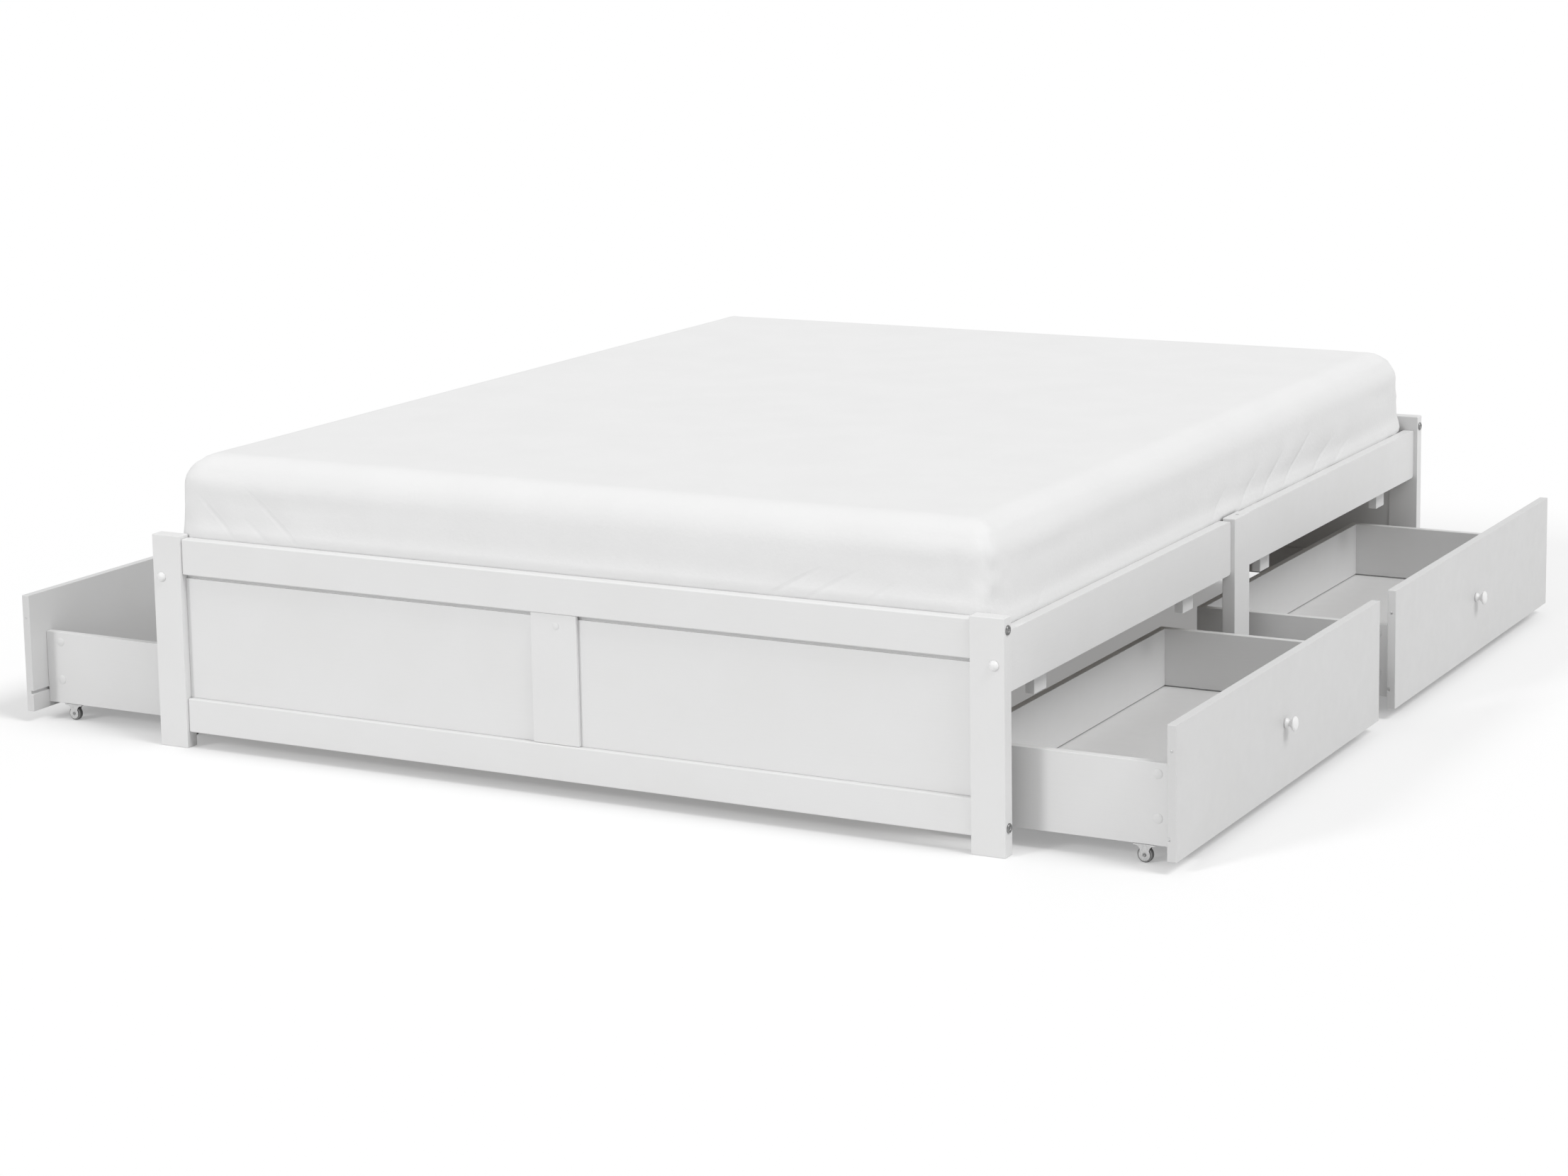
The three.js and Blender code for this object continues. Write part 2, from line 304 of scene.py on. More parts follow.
CAP_RADIUS = 0.0088
CAP_RISE = 0.0062
CAP_IN = 0.018
CAP_HEIGHT = 0.311
BOLT_RADIUS = 0.008
BOLT_HEIGHTS = (0.047, 0.367)
SOCKET_HALF = 0.0035
FROM_MIDDLE = 0.005
BATTEN_PLUG_HEIGHT = 0.296


def bolt_head(name, face, out, body):
    """A low round head with a hexagon socket, out along x. The socket's wall follows a hexagon:
    its radius is its flat's distance over the cosine of the angle from the nearest flat's middle."""
    segments = 36
    angle = np.linspace(0, 2 * math.pi, segments, endpoint=False)
    from_flat = (angle + math.pi / 6) % (math.pi / 3) - math.pi / 6
    socket = SOCKET_HALF / np.cos(from_flat)
    circle = np.ones(segments)
    radii = [radius * circle for radius in (0, BOLT_RADIUS, BOLT_RADIUS, 0.0068, 0.0055)]
    radii += [socket * 1.06, socket, socket, 0 * circle]
    heights = [0, 0, 0.0014, 0.0027, 0.003, 0.003, 0.0027, 0.0006, 0.0006]
    points = np.empty((len(radii), segments, 3))
    points[..., 0] = face[0] + out * np.array(heights)[:, None]
    points[..., 1] = face[1] + np.array(radii) * np.cos(angle)
    points[..., 2] = face[2] + np.array(radii) * np.sin(angle)
    faces = grid_faces(len(radii), segments, wrap_columns=True)
    piece = mesh_piece(name, points.reshape(-1, 3), faces, body, nickel)


for end, along in ENDS.items():
    for side, across in SIDES.items():
        low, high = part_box(f"{end}_{side}_post")
        outer = high.x if across > 0 else low.x
        face = high.y if along > 0 else low.y
        profile = np.vstack([[0, 0], dome(CAP_RADIUS, CAP_RISE)]) * [1, along]
        foot = (outer - across * CAP_IN, face, CAP_HEIGHT)
        cap = turned(f"{end}_{side}_post_cap", profile, "y", foot, "bed_frame", cap_plastic)
        for number, height in enumerate(BOLT_HEIGHTS, 1):
            middle = (outer, (low.y + high.y) / 2, height)
            bolt_head(f"{end}_{side}_post_bolt_{number}", middle, across, "bed_frame")


def flat_plug(name, centre, axis, out, radius, body, material, rise=0.0006):
    """A thin round cover pressed over a screw or dowel, with a rounded rim."""
    rim = [[0, 0], [radius, 0], [radius, rise * 0.6], [radius - rise * 0.6, rise], [0, rise]]
    return turned(name, np.array(rim) * [1, out], axis, centre, body, material, segments=24)


for end, along in ENDS.items():
    low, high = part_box(f"{end}_batten")
    face = high.y if along > 0 else low.y
    centre = (FROM_MIDDLE, face, BATTEN_PLUG_HEIGHT)
    plug = flat_plug(f"{end}_batten_plug", centre, "y", along, 0.006, "bed_frame", paint["z"])
for side in SIDES:
    low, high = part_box(f"{side}_middle_leg")
    top = ((low.x + high.x) / 2, FROM_MIDDLE, high.z)
    screw = flat_plug(f"{side}_middle_leg_screw", top, "z", 1, 0.0032, "bed_frame", zinc, 0.0004)

# Two rolls of bare planed pine slats lie on the bearers. Each slat is stapled to two cotton tapes
# that hold its place and hang a little slack between the slats.


def rounded_outline(half_width, half_height, radius, steps=4):
    """A rectangle with round corners, as points round it: each corner is a quarter circle."""
    turn = np.linspace(0, math.pi / 2, steps)
    quarters = [turn + quarter * math.pi / 2 for quarter in range(4)]
    signs = [(1, 1), (-1, 1), (-1, -1), (1, -1)]
    rows = [
        np.stack([
            sx * (half_width - radius) + radius * np.cos(angle),
            sy * (half_height - radius) + radius * np.sin(angle),
        ], axis=-1)
        for (sx, sy), angle in zip(signs, quarters)
    ]
    return np.vstack(rows)


def prism(outline, axis, start, stop):
    """An outline on the two other axes, carried straight along one axis and capped at both ends."""
    outline = np.asarray(outline, float)
    count = len(outline)
    order = AXES[axis]
    points = np.empty((2, count, 3))
    points[..., order[0]] = np.array([start, stop])[:, None]
    points[..., order[1]] = outline[:, 0]
    points[..., order[2]] = outline[:, 1]
    faces = grid_faces(2, count, wrap_columns=True)
    caps = [list(range(count)), list(range(count, 2 * count))]
    return points.reshape(-1, 3), faces + caps


def gathered(parts):
    """Several sets of points and faces as one."""
    points, faces, first = [], [], 0
    for part_points, part_faces in parts:
        points.append(part_points)
        faces += [[number + first for number in face] for face in part_faces]
        first += len(part_points)
    return np.vstack(points), faces


def waves(nodes, links, vector, direction, scale, distortion=0.0, detail=2.0, detail_scale=1.0):
    """Straight bands read at a vector, which wander with the distortion; returns their value's socket."""
    node = nodes.new("ShaderNodeTexWave")
    node.bands_direction = direction
    node.inputs["Scale"].default_value = scale
    node.inputs["Distortion"].default_value = distortion
    node.inputs["Detail"].default_value = detail
    node.inputs["Detail Scale"].default_value = detail_scale
    links.new(vector, node.inputs["Vector"])
    return node.outputs["Fac"]


def bare_pine():
    """Planed pine along x: early and late wood as stretched rings, a tone for each slat, fine pores."""
    material, nodes, links, surface = shader("bare_pine")
    along = stretched(nodes, links, (0.12, 1, 1))
    board_tone = stretched(nodes, links, (0.01, 6.5, 0.01))
    rings = waves(nodes, links, along, "Y", 38, 7, 3, 1.4)
    light, dark = (0.74, 0.62, 0.47), (0.58, 0.44, 0.29)
    wood = ramp(nodes, links, rings, 0.1, 0.95, light, dark)
    tones = noise(nodes, links, board_tone, 2, 1)
    tint = ramp(nodes, links, tones, 0.35, 0.65, (0.86, 0.83, 0.8), (1, 1, 1))
    mix = nodes.new("ShaderNodeMix")
    mix.data_type = "RGBA"
    mix.blend_type = "MULTIPLY"
    mix.inputs["Factor"].default_value = 1
    links.new(wood, mix.inputs["A"])
    links.new(tint, mix.inputs["B"])
    links.new(mix.outputs["Result"], surface.inputs["Base Color"])
    links.new(spread(nodes, links, rings, 0.55, 0.75), surface.inputs["Roughness"])
    pores = bump(nodes, links, noise(nodes, links, along, 900, 3), 0.0002, 0.4)
    links.new(pores, surface.inputs["Normal"])
    return material


def webbing_cloth():
    """Narrow woven tape: ribs across it, and a soft unbleached colour."""
    material, nodes, links, surface = shader("slat_tape_cotton")
    plain = stretched(nodes, links, (1, 1, 1))
    ribs = waves(nodes, links, plain, "Y", 500, 0.6)
    mottle = noise(nodes, links, plain, 120, 3)
    colour = ramp(nodes, links, mottle, 0.3, 0.7, (0.66, 0.64, 0.58), (0.8, 0.78, 0.73))
    links.new(colour, surface.inputs["Base Color"])
    links.new(bump(nodes, links, ribs, 0.0004, 0.5), surface.inputs["Normal"])
    surface.inputs["Roughness"].default_value = 0.9
    return material


pine = bare_pine()
tape_cotton = webbing_cloth()
SLAT_COUNT = 13
SLAT_WIDTH = 0.07
SLAT_THICKNESS = 0.015
SLAT_EDGE = 0.0025
TAPE_WIDTH = 0.02
TAPE_THICKNESS = 0.001
TAPE_SAG = 0.003
TAPE_FROM_END = 0.06


def tape_ribbon(x, first, last, height):
    """A flat tape along y. Its height dips between slats as the square of a sine."""
    pitch = (last - first - SLAT_WIDTH) / (SLAT_COUNT - 1)
    y = np.linspace(first + 0.005, last - 0.005, 240)
    phase = np.clip(((y - first) % pitch - SLAT_WIDTH) / (pitch - SLAT_WIDTH), 0, 1)
    drop = TAPE_SAG * np.sin(math.pi * phase) ** 2
    ring = [(x, 0), (x + TAPE_WIDTH, 0), (x + TAPE_WIDTH, -TAPE_THICKNESS), (x, -TAPE_THICKNESS)]
    points = np.empty((len(y), 4, 3))
    points[..., 0] = [corner[0] for corner in ring]
    points[..., 1] = y[:, None]
    points[..., 2] = height - drop[:, None] + np.array([corner[1] for corner in ring])
    count = len(y) * 4
    caps = [[0, 1, 2, 3], [count - 4, count - 3, count - 2, count - 1]]
    return points.reshape(-1, 3), grid_faces(len(y), 4, wrap_columns=True) + caps


for side in SIDES:
    low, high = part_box(f"{side}_slat_roll")
    top = high.z
    outline = rounded_outline(SLAT_WIDTH / 2, SLAT_THICKNESS / 2, SLAT_EDGE)
    starts = np.linspace(low.y, high.y - SLAT_WIDTH, SLAT_COUNT)
    middles = [(start + SLAT_WIDTH / 2, top - SLAT_THICKNESS / 2) for start in starts]
    parts = [prism(outline + middle, "x", low.x, high.x) for middle in middles]
    slats = mesh_piece(f"{side}_slats", *gathered(parts), "bed_frame", pine, smooth=False)
    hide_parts(f"{side}_slat_roll")
    under = top - SLAT_THICKNESS - 0.0001
    places = (low.x + TAPE_FROM_END, high.x - TAPE_FROM_END - TAPE_WIDTH)
    ribbons = [tape_ribbon(x, low.y, high.y, under) for x in places]
    tape_mesh = gathered(ribbons)
    tapes = mesh_piece(f"{side}_slat_tapes", *tape_mesh, "bed_frame", tape_cotton, smooth=False)

# The mattress is a foam slab in a quilted ticking cover, with broad soft edges. It fills the space
# between the rails and lies on the slats.

EDGE_RADIUS = 0.058
LOWER_EDGE = 0.03
QUILT_ACROSS = 0.12
QUILT_RISE = 0.003
mattress_low, mattress_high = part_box("mattress")
HALF_X = mattress_high.x - 0.002
HALF_Y = mattress_high.y
MATTRESS_BOTTOM = mattress_low.z + 0.005
MATTRESS_TOP = mattress_high.z - 0.003


def corner_length(away):
    """The length of steps away from the core box, kept at least a hair long. In plan it is the fourth
    root of the sum of fourth powers, which makes the upright corners squarer than a circle."""
    plan = (away[..., 0] ** 4 + away[..., 1] ** 4) ** 0.5
    return np.maximum(np.sqrt(plan + away[..., 2] ** 2), 1e-9)


def rounded_block(points, half_x, half_y, low, high, radius):
    """Moves points on a box onto the same box with round edges, and gives their outward directions.
    Each is held to a core box smaller by the radius, then set the radius away from it."""
    core_low = np.array([-half_x + radius, -half_y + radius, low])
    core_high = np.array([half_x - radius, half_y - radius, high - radius])
    core = np.clip(points, core_low, core_high)
    away = points - core
    direction = away / np.maximum(np.linalg.norm(away, axis=-1, keepdims=True), 1e-9)
    return core + away / corner_length(away)[..., None] * radius, direction


def cover_grid(half_x, half_y, top, depth, cell):
    """The points of a bed cover before it is shaped: a flat top, then rings of points straight down
    its sides. Also gives the point numbers of each ring, the faces and the top's point numbers."""
    count_x = round(2 * half_x / cell)
    count_y = round(2 * half_y / cell)
    rings = round(depth / cell)
    across = np.linspace(-half_x, half_x, count_x + 1)
    along = np.linspace(-half_y, half_y, count_y + 1)
    x, y = np.meshgrid(across, along, indexing="ij")
    flat = np.stack([x, y, np.full_like(x, top)], axis=-1).reshape(-1, 3)
    numbers = np.arange(len(flat)).reshape(count_x + 1, count_y + 1)
    edge = np.concatenate([numbers[:-1, 0], numbers[-1, :-1], numbers[:0:-1, -1], numbers[0, :0:-1]])
    sides = np.repeat(flat[edge][None], rings, axis=0)
    sides[..., 2] = top - depth * np.arange(1, rings + 1)[:, None] / rings
    lower = len(flat) + np.arange(rings * len(edge)).reshape(rings, -1)
    around = np.vstack([edge, lower])
    faces = cells(numbers) + cells(np.hstack([around, around[:, :1]]))
    return np.vstack([flat, sides.reshape(-1, 3)]), around, faces, numbers


def ticking_cloth():
    """Quilted ticking: a fine twill over soft padded diamonds."""
    material, nodes, links, surface = shader("ticking")
    plain = stretched(nodes, links, (1, 1, 1))
    twill = waves(nodes, links, plain, "DIAGONAL", 300)
    mottle = noise(nodes, links, plain, 60, 3)
    colour = ramp(nodes, links, mottle, 0.3, 0.7, (0.7, 0.69, 0.66), (0.8, 0.79, 0.77))
    links.new(colour, surface.inputs["Base Color"])
    links.new(bump(nodes, links, twill, 0.0003, 0.4), surface.inputs["Normal"])
    surface.inputs["Roughness"].default_value = 0.92
    surface.inputs["Sheen Weight"].default_value = 0.15
    return material


def mattress_shape(cell):
    """A closed block with round edges. Its underside is quilted in diamonds: it is highest where the
    product of two sines of the diagonals is nil, and it stays flat at its rim."""
    depth = MATTRESS_TOP - MATTRESS_BOTTOM
    points, _, faces, numbers = cover_grid(HALF_X, HALF_Y, MATTRESS_TOP, depth, cell)
    under = points[numbers].copy()
    under[..., 2] = MATTRESS_BOTTOM
    faces = faces + [[number + len(points) for number in face] for face in cells(numbers)]
    points = np.vstack([points, under.reshape(-1, 3)])
    core_low = MATTRESS_BOTTOM + LOWER_EDGE
    shaped, _ = rounded_block(points, HALF_X, HALF_Y, core_low, MATTRESS_TOP, EDGE_RADIUS)
    below = np.clip((core_low - shaped[:, 2]) / LOWER_EDGE, 0, None)
    shaped[:, 2] = np.maximum(shaped[:, 2], MATTRESS_BOTTOM)
    wave = math.pi / QUILT_ACROSS
    x, y = shaped[:, 0], shaped[:, 1]
    quilt = np.abs(np.sin((x + y) * wave) * np.sin((x - y) * wave))
    shaped[:, 2] += np.where(below >= 0.999, QUILT_RISE * (1 - quilt**0.5), 0)
    return shaped, faces


ticking = ticking_cloth()
mattress = mesh_piece("mattress_block", *mattress_shape(0.02), "bed_frame", ticking)
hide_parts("mattress")

# The fitted sheet is one piece of fine white cotton with a dart sewn at each corner. It is pulled over
# the mattress and tucked under it by an elastic hem, so slack gathers in slanting folds at the sides.

CELL = 0.0105
SHEET_GAP = 0.0015
SLACK_LIMIT = 0.0048
TUCK = 0.09
BOTTOM_RADIUS = 0.03
FALL_CELL = 0.018
FALL_FRAMES = 22


def distance_out(points):
    """How far points are outside the mattress: their distance from its core box, less its radius."""
    core_low = np.array([-HALF_X + EDGE_RADIUS, -HALF_Y + EDGE_RADIUS, -1])
    core_high = np.array([HALF_X - EDGE_RADIUS, HALF_Y - EDGE_RADIUS, MATTRESS_TOP - EDGE_RADIUS])
    return corner_length(points - np.clip(points, core_low, core_high)) - EDGE_RADIUS


def drop_sheet(cell, frames):
    """Lets a coarse sheet fall on the mattress with its hem drawn in, and returns how far each of its
    points ends up from the mattress, for its top and for its sides."""
    loose = 0.003
    depth = MATTRESS_TOP - MATTRESS_BOTTOM + TUCK
    top = MATTRESS_TOP + loose
    points, around, faces, numbers = cover_grid(HALF_X + loose, HALF_Y + loose, top, depth, cell)
    points, _ = rounded_block(points, HALF_X + loose, HALF_Y + loose, -1, top, EDGE_RADIUS + loose)
    block_mesh = bpy.data.meshes.new("sheet_block")
    block_points, block_faces = mattress_shape(0.04)
    block_mesh.from_pydata(block_points.tolist(), [], block_faces)
    block = bpy.data.objects.new("sheet_block", block_mesh)
    cloth_mesh = bpy.data.meshes.new("sheet_cloth")
    cloth_mesh.from_pydata(points.tolist(), [], faces)
    cloth = bpy.data.objects.new("sheet_cloth", cloth_mesh)
    for item in (block, cloth):
        bpy.context.scene.collection.objects.link(item)
    block.modifiers.new("solid", "COLLISION")
    block.collision.thickness_outer = 0.002
    block.collision.cloth_friction = 8
    hem = cloth.vertex_groups.new(name="hem")
    hem.add(around[-3:].reshape(-1).tolist(), 1, "REPLACE")
    falling = cloth.modifiers.new("falling", "CLOTH")
    settings = falling.settings
    settings.quality = 6
    settings.mass = 0.2
    settings.tension_stiffness = 25
    settings.compression_stiffness = 25
    settings.shear_stiffness = 5
    settings.bending_stiffness = 3
    settings.air_damping = 2
    settings.shrink_min = 0
    settings.shrink_max = 0.06
    settings.vertex_group_shrink = "hem"
    falling.collision_settings.collision_quality = 3
    falling.collision_settings.distance_min = 0.003
    falling.collision_settings.use_self_collision = False
    falling.point_cache.frame_start = 1
    falling.point_cache.frame_end = frames
    for step in range(1, frames + 1):
        bpy.context.scene.frame_set(step)
    settled = cloth.evaluated_get(bpy.context.evaluated_depsgraph_get())
    flat = np.empty(len(points) * 3, np.float32)
    settled.data.vertices.foreach_get("co", flat)
    away = distance_out(flat.reshape(-1, 3).astype(float))
    bpy.context.scene.frame_set(1)
    for item in (block, cloth):
        bpy.data.objects.remove(item)
    return away[numbers], away[around]


def resampled(field, places, wrap=False):
    """Reads a field between its rows by Catmull-Rom curves. Places count its rows from 0."""
    first = np.floor(places).astype(int)
    t = (places - first)[:, None]
    rows = [first + step for step in (-1, 0, 1, 2)]
    rows = [row % len(field) if wrap else np.clip(row, 0, len(field) - 1) for row in rows]
    a, b, c, d = (field[row] for row in rows)
    return b + 0.5 * t * (c - a + t * (2 * a - 5 * b + 4 * c - d + t * (3 * (b - c) + d - a)))


def refined(field, shape, wrap_rows=False):
    """A field of another shape, read from a coarse one along both its directions. A field that wraps
    has one row for each point round it."""
    last = len(field) if wrap_rows else len(field) - 1
    end = last * (1 - 1 / shape[0]) if wrap_rows else last
    field = resampled(field, np.linspace(0, end, shape[0]), wrap_rows)
    return resampled(field.T, np.linspace(0, field.shape[1] - 1, shape[1])).T


def pressed_crease(along, height, start, stop, depth, width):
    """A crease from start to stop on a side, as a dent with a soft ridge beside it: a Gaussian across
    the line, faded out at both ends by a sine."""
    run = np.subtract(stop, start)
    length = np.hypot(*run)
    run = run / length
    t = ((along - start[0]) * run[0] + (height - start[1]) * run[1]) / length
    off = (height - start[1]) * run[0] - (along - start[0]) * run[1]
    fade = np.sin(math.pi * np.clip(t, 0, 1)) ** 0.8
    dent = -np.exp(-((off / width) ** 2)) + 0.7 * np.exp(-(((off - 1.9 * width) / (1.4 * width)) ** 2))
    return depth * fade * dent


# Creases on the foot side run down and away from its two corners; those on the right side lean
# towards the head. Each is (start, stop) as (place along the side, height), then depth and width.
FOOT_CREASES = [
    ((-0.765, 0.468), (-0.655, 0.372), 0.0013, 0.015),
    ((-0.655, 0.425), (-0.580, 0.372), 0.0009, 0.014),
    ((-0.655, 0.482), (-0.515, 0.370), 0.0013, 0.015),
    ((0.505, 0.438), (0.385, 0.372), 0.0016, 0.016),
    ((0.575, 0.440), (0.450, 0.370), 0.0014, 0.015),
    ((0.640, 0.425), (0.560, 0.372), 0.0008, 0.014),
]
RIGHT_CREASES = [
    ((start, 0.350), (start + run, 0.350 + rise), depth, 0.015)
    for start, run, rise, depth in [
        (-0.890, 0.09, 0.045, 0.0006),
        (-0.110, 0.12, 0.070, 0.0012),
        (0.030, 0.15, 0.085, 0.0013),
        (0.140, 0.17, 0.090, 0.0016),
        (0.250, 0.22, 0.105, 0.0017),
        (0.400, 0.20, 0.075, 0.0014),
        (0.520, 0.16, 0.050, 0.0011),
    ]
]


SIDE_RAIL_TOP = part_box("foot_right_side_rail")[1].z
END_RAIL_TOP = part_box("foot_top_rail")[1].z
RAIL_GAP = 0.0008
ROOM_IN_RAILS = np.array([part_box("foot_right_side_rail")[0].x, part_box("head_top_rail")[0].y]) - RAIL_GAP
WAIST_HEIGHT = 0.462
WAIST_SPREAD = 0.021
WAIST_DEPTH = 0.0015
TOP_WAVES = 7
TOP_DEPTH = 0.0012
SIDE_SWELL = 0.0095
END_SWELL = 0.0088
SWELL_ABOVE_RAIL = 0.017
SWELL_FADE = 0.006
LEAST_RADIUS = 0.008
PLEAT = 0.0006


def swell(height, rail_top):
    """How much of its swelling a side has at a height: a logistic curve that falls above the rail."""
    return 1 / (1 + np.exp((height - rail_top - SWELL_ABOVE_RAIL) / SWELL_FADE))


def sheet_surface():
    """The sheet's points: the mattress's own outline with a little clearance, set out along its normals
    by the slack that the fall left, folded under at the hem. Slack d becomes L * (1 - exp(-d / L)), so
    deep folds stay shallow and no point goes further than L."""
    half_x, half_y = HALF_X + SHEET_GAP, HALF_Y + SHEET_GAP
    top = MATTRESS_TOP + SHEET_GAP
    radius = EDGE_RADIUS + SHEET_GAP
    turn_height = MATTRESS_BOTTOM + BOTTOM_RADIUS
    curl = BOTTOM_RADIUS + SHEET_GAP
    wrap = curl * math.pi / 2 + TUCK
    depth = top - turn_height + wrap
    points, around, faces, numbers = cover_grid(half_x, half_y, top, depth, CELL)
    base, out = rounded_block(points, half_x, half_y, -1, top, radius)

    top_slack, side_slack = drop_sheet(FALL_CELL, FALL_FRAMES)
    fall_depth = MATTRESS_TOP - MATTRESS_BOTTOM + TUCK
    slack = np.zeros(len(points))
    slack[numbers] = refined(top_slack, numbers.shape)
    kept = np.linspace(0, 1, around.shape[0]) * depth / fall_depth * (side_slack.shape[0] - 1)
    columns = refined(side_slack.T, (around.shape[1], side_slack.shape[0]), wrap_rows=True).T
    rings = resampled(columns, kept)
    slack[around[1:]] = rings[1:]
    slack = np.clip(slack - 0.0025, 0, None)

    # The sides sink a little at mid height, between the mattress's two firm rims.
    x, y, z = base.T
    waist = np.exp(-(((z - WAIST_HEIGHT) / WAIST_SPREAD) ** 2)) * (1 - out[:, 2] ** 2)
    uneven = 0.75 + 0.25 * np.sin(3.1 * x + 0.6) * np.cos(2.3 * y)
    limit = SLACK_LIMIT * np.clip((z - 0.35) / 0.06, 0.35, 1)
    lift = limit * (1 - np.exp(-slack / limit)) - WAIST_DEPTH * waist * uneven

    # The top is level but for the soft unevenness of the foam.
    chance = np.random.default_rng(4)
    level = np.zeros(len(points))
    for _ in range(TOP_WAVES):
        wave_x, wave_y = chance.uniform(2, 7, 2)
        turn_x, turn_y = chance.uniform(0, 6.28, 2)
        level += np.sin(wave_x * x + turn_x) * np.sin(wave_y * y + turn_y) / TOP_WAVES
    lift += TOP_DEPTH * level * out[:, 2] ** 2

    # A half turn of the bed brings the foot's creases to the head and the right side's to the left.
    for turn in (1, -1):
        for start, stop, deep, width in FOOT_CREASES:
            crease = pressed_crease(turn * x, z, start, stop, deep, width)
            lift += np.where(turn * out[:, 1] < -0.6, crease, 0)
        for start, stop, deep, width in RIGHT_CREASES:
            crease = pressed_crease(turn * y, z, start, stop, deep, width)
            lift += np.where(turn * out[:, 0] > 0.6, crease, 0)

    # The sides swell against the rails.
    to_side = SIDE_SWELL * swell(z, SIDE_RAIL_TOP) * out[:, 0] ** 2
    to_end = END_SWELL * swell(z, END_RAIL_TOP) * out[:, 1] ** 2
    lift += to_side + to_end
    lift = np.maximum(lift, -SHEET_GAP * 0.5)
    shaped = base + out * lift[:, None]
    in_rails = z[:, None] < np.array([SIDE_RAIL_TOP, END_RAIL_TOP]) + 0.0012
    room = np.where(in_rails, ROOM_IN_RAILS, ROOM_IN_RAILS + 0.004)
    shaped[:, :2] = np.clip(shaped[:, :2], -room, room)

    # Below the turn, a ring at path length s goes round the bottom edge and then straight inwards.
    column = points[around[0]]
    wall, plan_out = rounded_block(column * [1, 1, 0], half_x, half_y, -1, 1, radius)
    reach = np.array([half_x - radius, half_y - radius, 0])
    core = np.clip(wall, -reach, reach)
    s = turn_height - points[around[:, 0], 2]
    lower = np.nonzero(s > 0)[0]
    angle = np.clip(s[lower] / curl, 0, math.pi / 2)
    inset = curl * (1 - np.cos(angle)) + np.clip(s[lower] - curl * math.pi / 2, 0, None)
    height = turn_height - curl * np.sin(angle)
    held = np.maximum(radius - inset, LEAST_RADIUS)
    beyond = np.clip(inset - (radius - LEAST_RADIUS), 0, None)
    scale = (reach[:2] - beyond[:, None]) / reach[:2]
    ring = np.empty((len(lower), len(column), 3))
    outline = (wall - core) / radius
    ring[..., :2] = core[None, :, :2] * scale[:, None] + outline[None, :, :2] * held[:, None, None]
    pleat = np.where(np.arange(len(column)) % 4 < 2, 1, -1) * PLEAT
    ring[..., 2] = height[:, None] + pleat * np.clip((inset - 0.04) / 0.05, 0, 1)[:, None]
    last_lift = lift[around[lower]] * np.clip(1 - s[lower] / 0.02, 0, 1)[:, None]
    ring += plan_out[None] * last_lift[..., None]
    shaped[around[lower]] = ring
    return shaped, faces, points


def maths(nodes, links, operation, *values):
    """One step of arithmetic on sockets and plain numbers; returns its result's socket."""
    node = nodes.new("ShaderNodeMath")
    node.operation = operation
    for socket, value in zip(node.inputs, values):
        if isinstance(value, (int, float)):
            socket.default_value = value
        else:
            links.new(value, socket)
    return node.outputs["Value"]


def half_turned(nodes, links, axis, side):
    """The piece's coordinates, turned half round the upright where they lie on the other side of the
    bed than the given one, so that a pattern laid on one side falls on both."""
    place = nodes.new("ShaderNodeTexCoord").outputs["Object"]
    parts = nodes.new("ShaderNodeSeparateXYZ")
    links.new(place, parts.inputs["Vector"])
    sign = maths(nodes, links, "SIGN", maths(nodes, links, "MULTIPLY", parts.outputs[axis], side))
    turn = nodes.new("ShaderNodeCombineXYZ")
    links.new(sign, turn.inputs["X"])
    links.new(sign, turn.inputs["Y"])
    turn.inputs["Z"].default_value = 1
    turned_place = nodes.new("ShaderNodeVectorMath")
    turned_place.operation = "MULTIPLY"
    links.new(place, turned_place.inputs[0])
    links.new(turn.outputs["Vector"], turned_place.inputs[1])
    return turned_place.outputs["Vector"]


LINE_WIDTH = 0.0065
LINE_REACH = 0.03
USUAL_DEPTH = FOOT_CREASES[0][2]


def sharp_line(nodes, links, vector, centre, along, length, width):
    """The fine line down the middle of a crease: a long thin ellipsoid about its centre, where the
    value falls from 1 to 0."""
    mapping = nodes.new("ShaderNodeMapping")
    mapping.vector_type = "TEXTURE"
    mapping.inputs["Location"].default_value = centre
    mapping.inputs["Rotation"].default_value = Vector(along).to_track_quat("X", "Z").to_euler()
    mapping.inputs["Scale"].default_value = (length / 2, LINE_REACH, width)
    links.new(vector, mapping.inputs["Vector"])
    spot = nodes.new("ShaderNodeTexGradient")
    spot.gradient_type = "SPHERICAL"
    links.new(mapping.outputs["Vector"], spot.inputs["Vector"])
    return spot.outputs["Fac"]


def crease_lines(nodes, links):
    """The fine lines of all creases, deep ones more than others, added up; returns the sum's socket."""
    total = 0
    to_foot = half_turned(nodes, links, "Y", -1)
    to_right = half_turned(nodes, links, "X", 1)
    sets = [(to_foot, False, crease) for crease in FOOT_CREASES]
    sets += [(to_right, True, crease) for crease in RIGHT_CREASES]
    for vector, at_side, (start, stop, deep, _) in sets:
        middle = np.add(start, stop) / 2
        run = np.subtract(stop, start)
        if at_side:
            centre, along = (HALF_X + 0.002, middle[0], middle[1]), (0, run[0], run[1])
        else:
            centre, along = (middle[0], -HALF_Y - 0.002, middle[1]), (run[0], 0, run[1])
        line = sharp_line(nodes, links, vector, centre, along, np.hypot(*run), LINE_WIDTH)
        total = maths(nodes, links, "MULTIPLY_ADD", line, -deep / USUAL_DEPTH, total)
    return total


